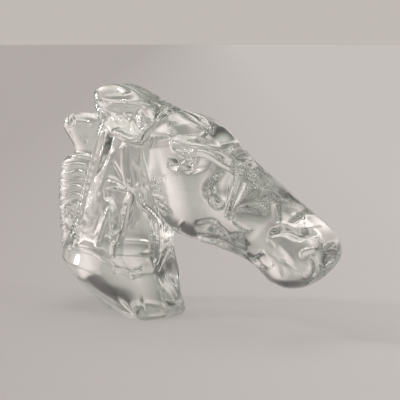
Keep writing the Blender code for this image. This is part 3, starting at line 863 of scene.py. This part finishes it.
def tones(tree, angle, stops, dark, light):
    """Tones over an angle in radians, from stops in degrees, with a tint for dark and one for light tones."""
    first, last = stops[0][0], stops[-1][0]
    node = tree.nodes.new("ShaderNodeValToRGB")
    elements = node.color_ramp.elements
    while len(elements) < len(stops):
        elements.new(0.5)
    for element, (degrees, _) in zip(elements, stops):
        element.position = (degrees - first) / (last - first)
    for element, (_, tone) in zip(elements, stops):
        share = min(1.0, max(0.0, (tone - TINT_START) / TINT_SPAN))
        tint = Vector(dark).lerp(Vector(light), share)
        element.color = (*(tint * tone / ROOM_STRENGTH), 1.0)
    tree.links.new(spread(tree, angle, radians(first), radians(last)), node.inputs["Fac"])
    return node.outputs["Color"]


def dot_product(tree, vector, direction):
    """Dot product of a vector and a fixed direction."""
    node = tree.nodes.new("ShaderNodeVectorMath")
    node.operation = "DOT_PRODUCT"
    node.inputs[1].default_value = direction
    tree.links.new(vector, node.inputs[0])
    return node.outputs["Value"]


def product(tree, first, second):
    """Product of two colours."""
    node = tree.nodes.new("ShaderNodeVectorMath")
    node.operation = "MULTIPLY"
    tree.links.new(first, node.inputs[0])
    tree.links.new(second, node.inputs[1])
    return node.outputs[0]


def calculate(tree, operation, first, second):
    """Result of an operation on two values, each a float or an output."""
    node = tree.nodes.new("ShaderNodeMath")
    node.operation = operation
    for socket, value in zip(node.inputs, (first, second)):
        if isinstance(value, float):
            socket.default_value = value
        else:
            tree.links.new(value, socket)
    return node.outputs[0]


def make_floor():
    """Pale floor with painted shade, darker to the left and lighter to the right, which isn't seen through the
    glass.
    """
    mesh = bpy.data.meshes.new("floor")
    bm = bmesh.new()
    bmesh.ops.create_circle(bm, cap_ends=True, radius=FLOOR_RADIUS, segments=FLOOR_SIDES)
    bm.to_mesh(mesh)
    bm.free()
    floor = bpy.data.objects.new("floor", mesh)
    floor.location.z = -FLOOR_DROP
    floor.visible_transmission = False
    show(floor)
    paint = bpy.data.materials.new("pale_floor_painted_shade")
    paint.use_nodes = True
    tree = paint.node_tree
    across = dot_product(tree, tree.nodes.new("ShaderNodeTexCoord").outputs["Object"], SIDEWAYS)
    # painted shade: the floor's colour runs from darker on the left to lighter on the right
    ramp = tree.nodes.new("ShaderNodeValToRGB")
    for element, colour in zip(ramp.color_ramp.elements, (FLOOR_SHADED_LEFT, FLOOR_LIT_RIGHT)):
        element.color = (*colour, 1.0)
    tree.links.new(spread(tree, across, -FLOOR_BLEND, FLOOR_BLEND), ramp.inputs["Fac"])
    shader = tree.nodes["Principled BSDF"]
    tree.links.new(ramp.outputs["Color"], shader.inputs["Base Color"])
    shader.inputs["Roughness"].default_value = FLOOR_ROUGHNESS
    mesh.materials.append(paint)
    return floor


def make_room():
    """Light of the room. Behind the object the camera itself sees one plain colour."""
    world = bpy.data.worlds.new("studio")
    bpy.context.scene.world = world
    world.use_nodes = True
    tree = world.node_tree
    direction = tree.nodes.new("ShaderNodeTexCoord").outputs["Generated"]
    forward, sideways, upwards = (dot_product(tree, direction, axis) for axis in (FORWARD, SIDEWAYS, UPWARDS))
    turn = calculate(tree, "ARCTAN2", sideways, forward)
    rise = calculate(tree, "ARCSINE", upwards, 0.0)
    colour = product(tree, tones(tree, turn, TURN_TONES, DARK_TINT, LIGHT_TINT),
                     tones(tree, rise, RISE_TONES, NO_TINT, NO_TINT))
    for middles, halves, tone in CARDS:
        squares = []
        for angle, middle, half in zip((turn, rise), middles, halves):
            off = calculate(tree, "SUBTRACT", angle, radians(middle))
            share = calculate(tree, "DIVIDE", off, radians(half))
            squares.append(calculate(tree, "MULTIPLY", share, share))
        colour = product(tree, colour, spread(tree, calculate(tree, "ADD", *squares), CARD_CORE, 1.0, tone))
    room = tree.nodes["Background"]
    tree.links.new(colour, room.inputs["Color"])
    room.inputs["Strength"].default_value = ROOM_STRENGTH ** 2
    backdrop = tree.nodes.new("ShaderNodeBackground")
    backdrop.inputs["Color"].default_value = (*BACKDROP, 1.0)
    choice = tree.nodes.new("ShaderNodeMixShader")
    tree.links.new(tree.nodes.new("ShaderNodeLightPath").outputs["Is Camera Ray"], choice.inputs[0])
    tree.links.new(room.outputs[0], choice.inputs[1])
    tree.links.new(backdrop.outputs[0], choice.inputs[2])
    tree.links.new(choice.outputs[0], tree.nodes["World Output"].inputs["Surface"])


def make_lamps():
    """Soft distant lamps, none seen through the glass."""
    for k, (origin, width, strength, mirrored) in enumerate(LAMPS):
        light = bpy.data.lights.new("lamp_%d" % k, "SUN")
        light.angle = radians(width)
        light.energy = strength
        light.use_shadow = mirrored
        lamp = bpy.data.objects.new("lamp_%d" % k, light)
        lamp.location = origin
        lamp.rotation_euler = Vector(origin).to_track_quat("Z", "Y").to_euler()
        lamp.visible_transmission = False
        lamp.visible_glossy = mirrored
        show(lamp)


def make_camera():
    """Camera at the photograph's viewing angle."""
    data = bpy.data.cameras.new("camera")
    data.lens = FOCAL_LENGTH
    data.sensor_width = SENSOR_WIDTH
    data.clip_start = CLIP_START
    camera = bpy.data.objects.new("camera", data)
    camera.location = CAMERA_PLACE
    camera.rotation_euler = (pi / 2 - PITCH, 0, AZIMUTH)
    show(camera)
    bpy.context.scene.camera = camera


def set_light_paths():
    """Plain colours, and light paths long enough for carved glass."""
    scene = bpy.context.scene
    scene.view_settings.view_transform = "Standard"
    scene.cycles.max_bounces = BOUNCES
    scene.cycles.transmission_bounces = GLASS_BOUNCES
    scene.cycles.glossy_bounces = MIRROR_BOUNCES
    scene.cycles.caustics_reflective = True
    scene.cycles.caustics_refractive = True
    scene.cycles.blur_glossy = PATH_BLUR
    scene.cycles.use_denoising = True


skin = make_skin()
carve(skin)
skin.materials.clear()
skin.materials.append(make_glass())
horse = bpy.data.objects.new("crystal_horse", skin)
show(horse)
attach(horse, "root")
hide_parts("horse_head")

floor = make_floor()
make_room()
make_lamps()
make_camera()
set_light_paths()
